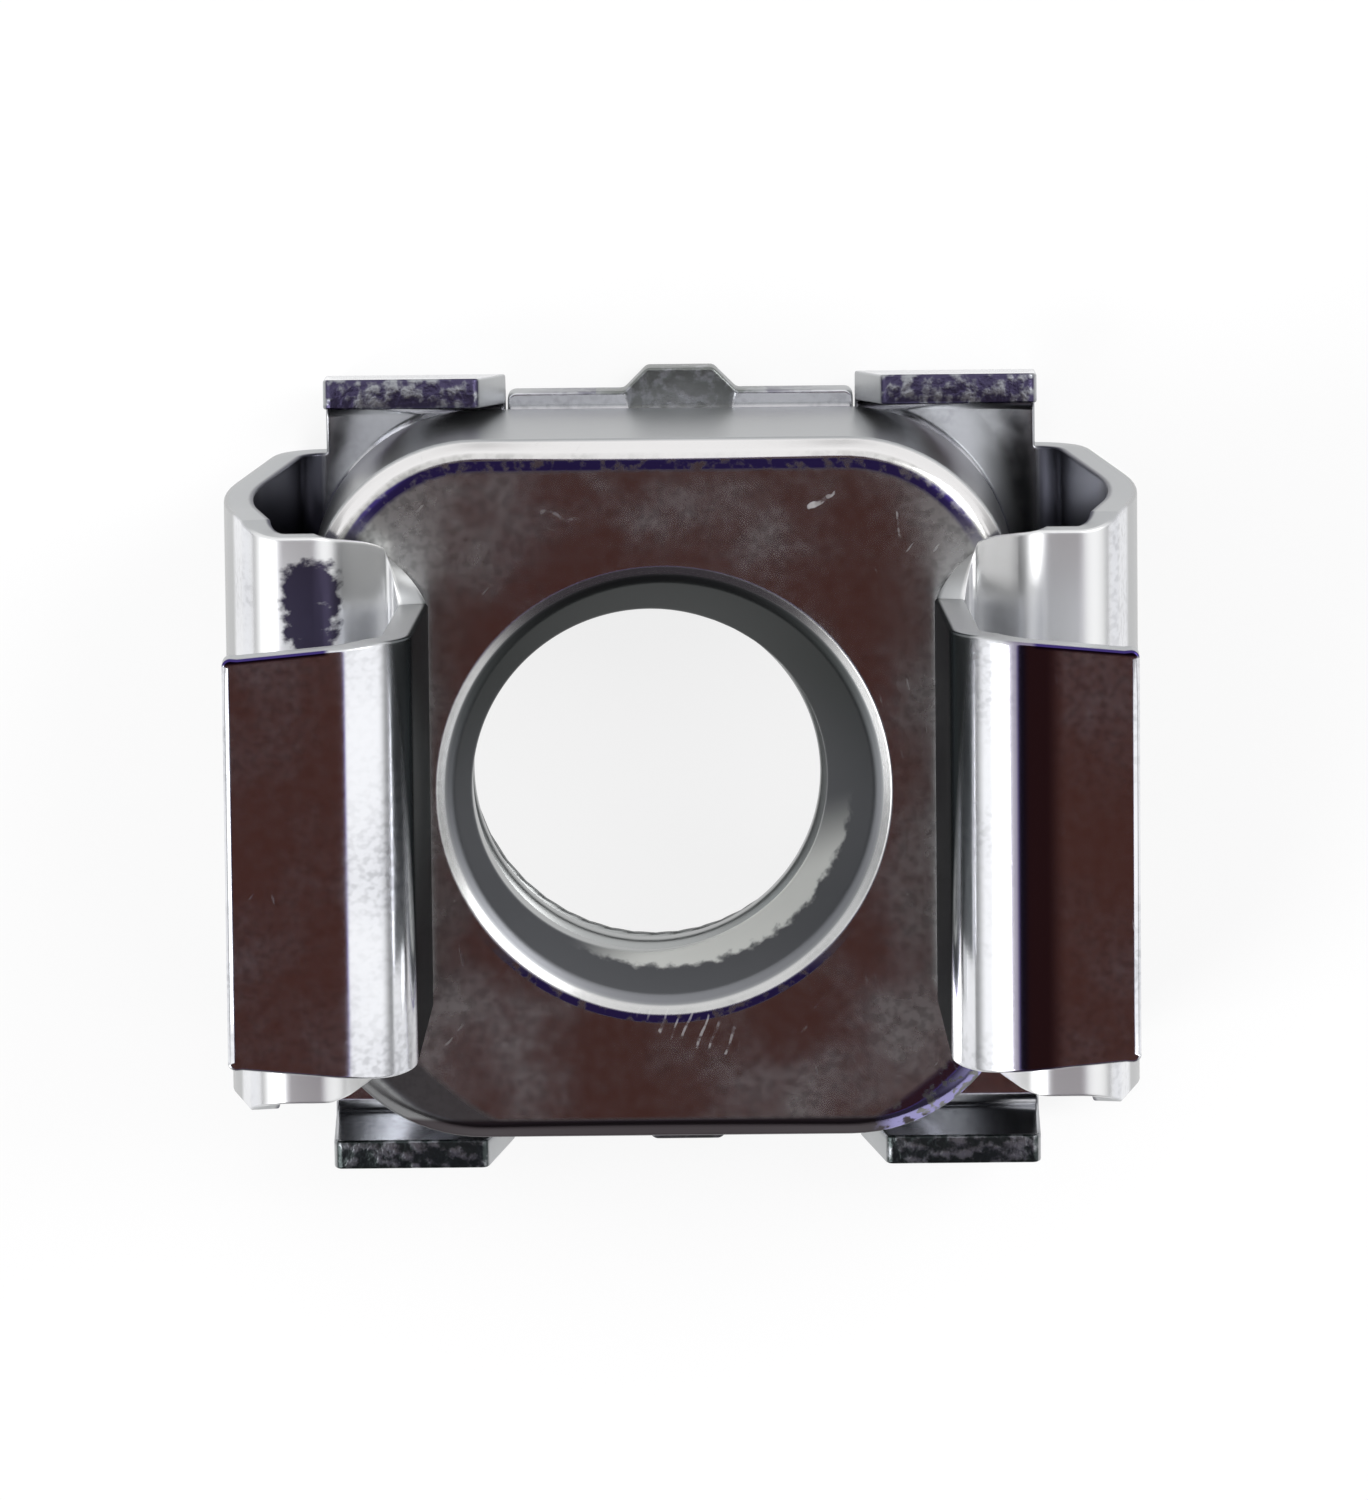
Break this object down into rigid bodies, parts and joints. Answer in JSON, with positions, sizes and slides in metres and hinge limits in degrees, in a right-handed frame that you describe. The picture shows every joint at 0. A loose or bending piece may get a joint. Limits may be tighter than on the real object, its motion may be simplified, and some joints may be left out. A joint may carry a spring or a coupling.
{
  "type": "rack cage nut",
  "caption": "Square nut with a metric thread held in a folded spring steel cage that snaps into a square panel hole.",
  "frame": {"origin": "centre of the base plate's underside", "axes": "+X across the two wings, +Y along the edges with the corner tabs, +Z along the thread towards the panel side"},
  "size_m": [0.0128, 0.0114, 0.0086],
  "materials": {
    "cage_zinc": "bright zinc plate",
    "nut_zinc": "bright zinc plate, hazed"
  },
  "bodies": {
    "root": {"spring_cage": "cage_zinc", "square_nut": "nut_zinc"}
  },
  "joints": []
}
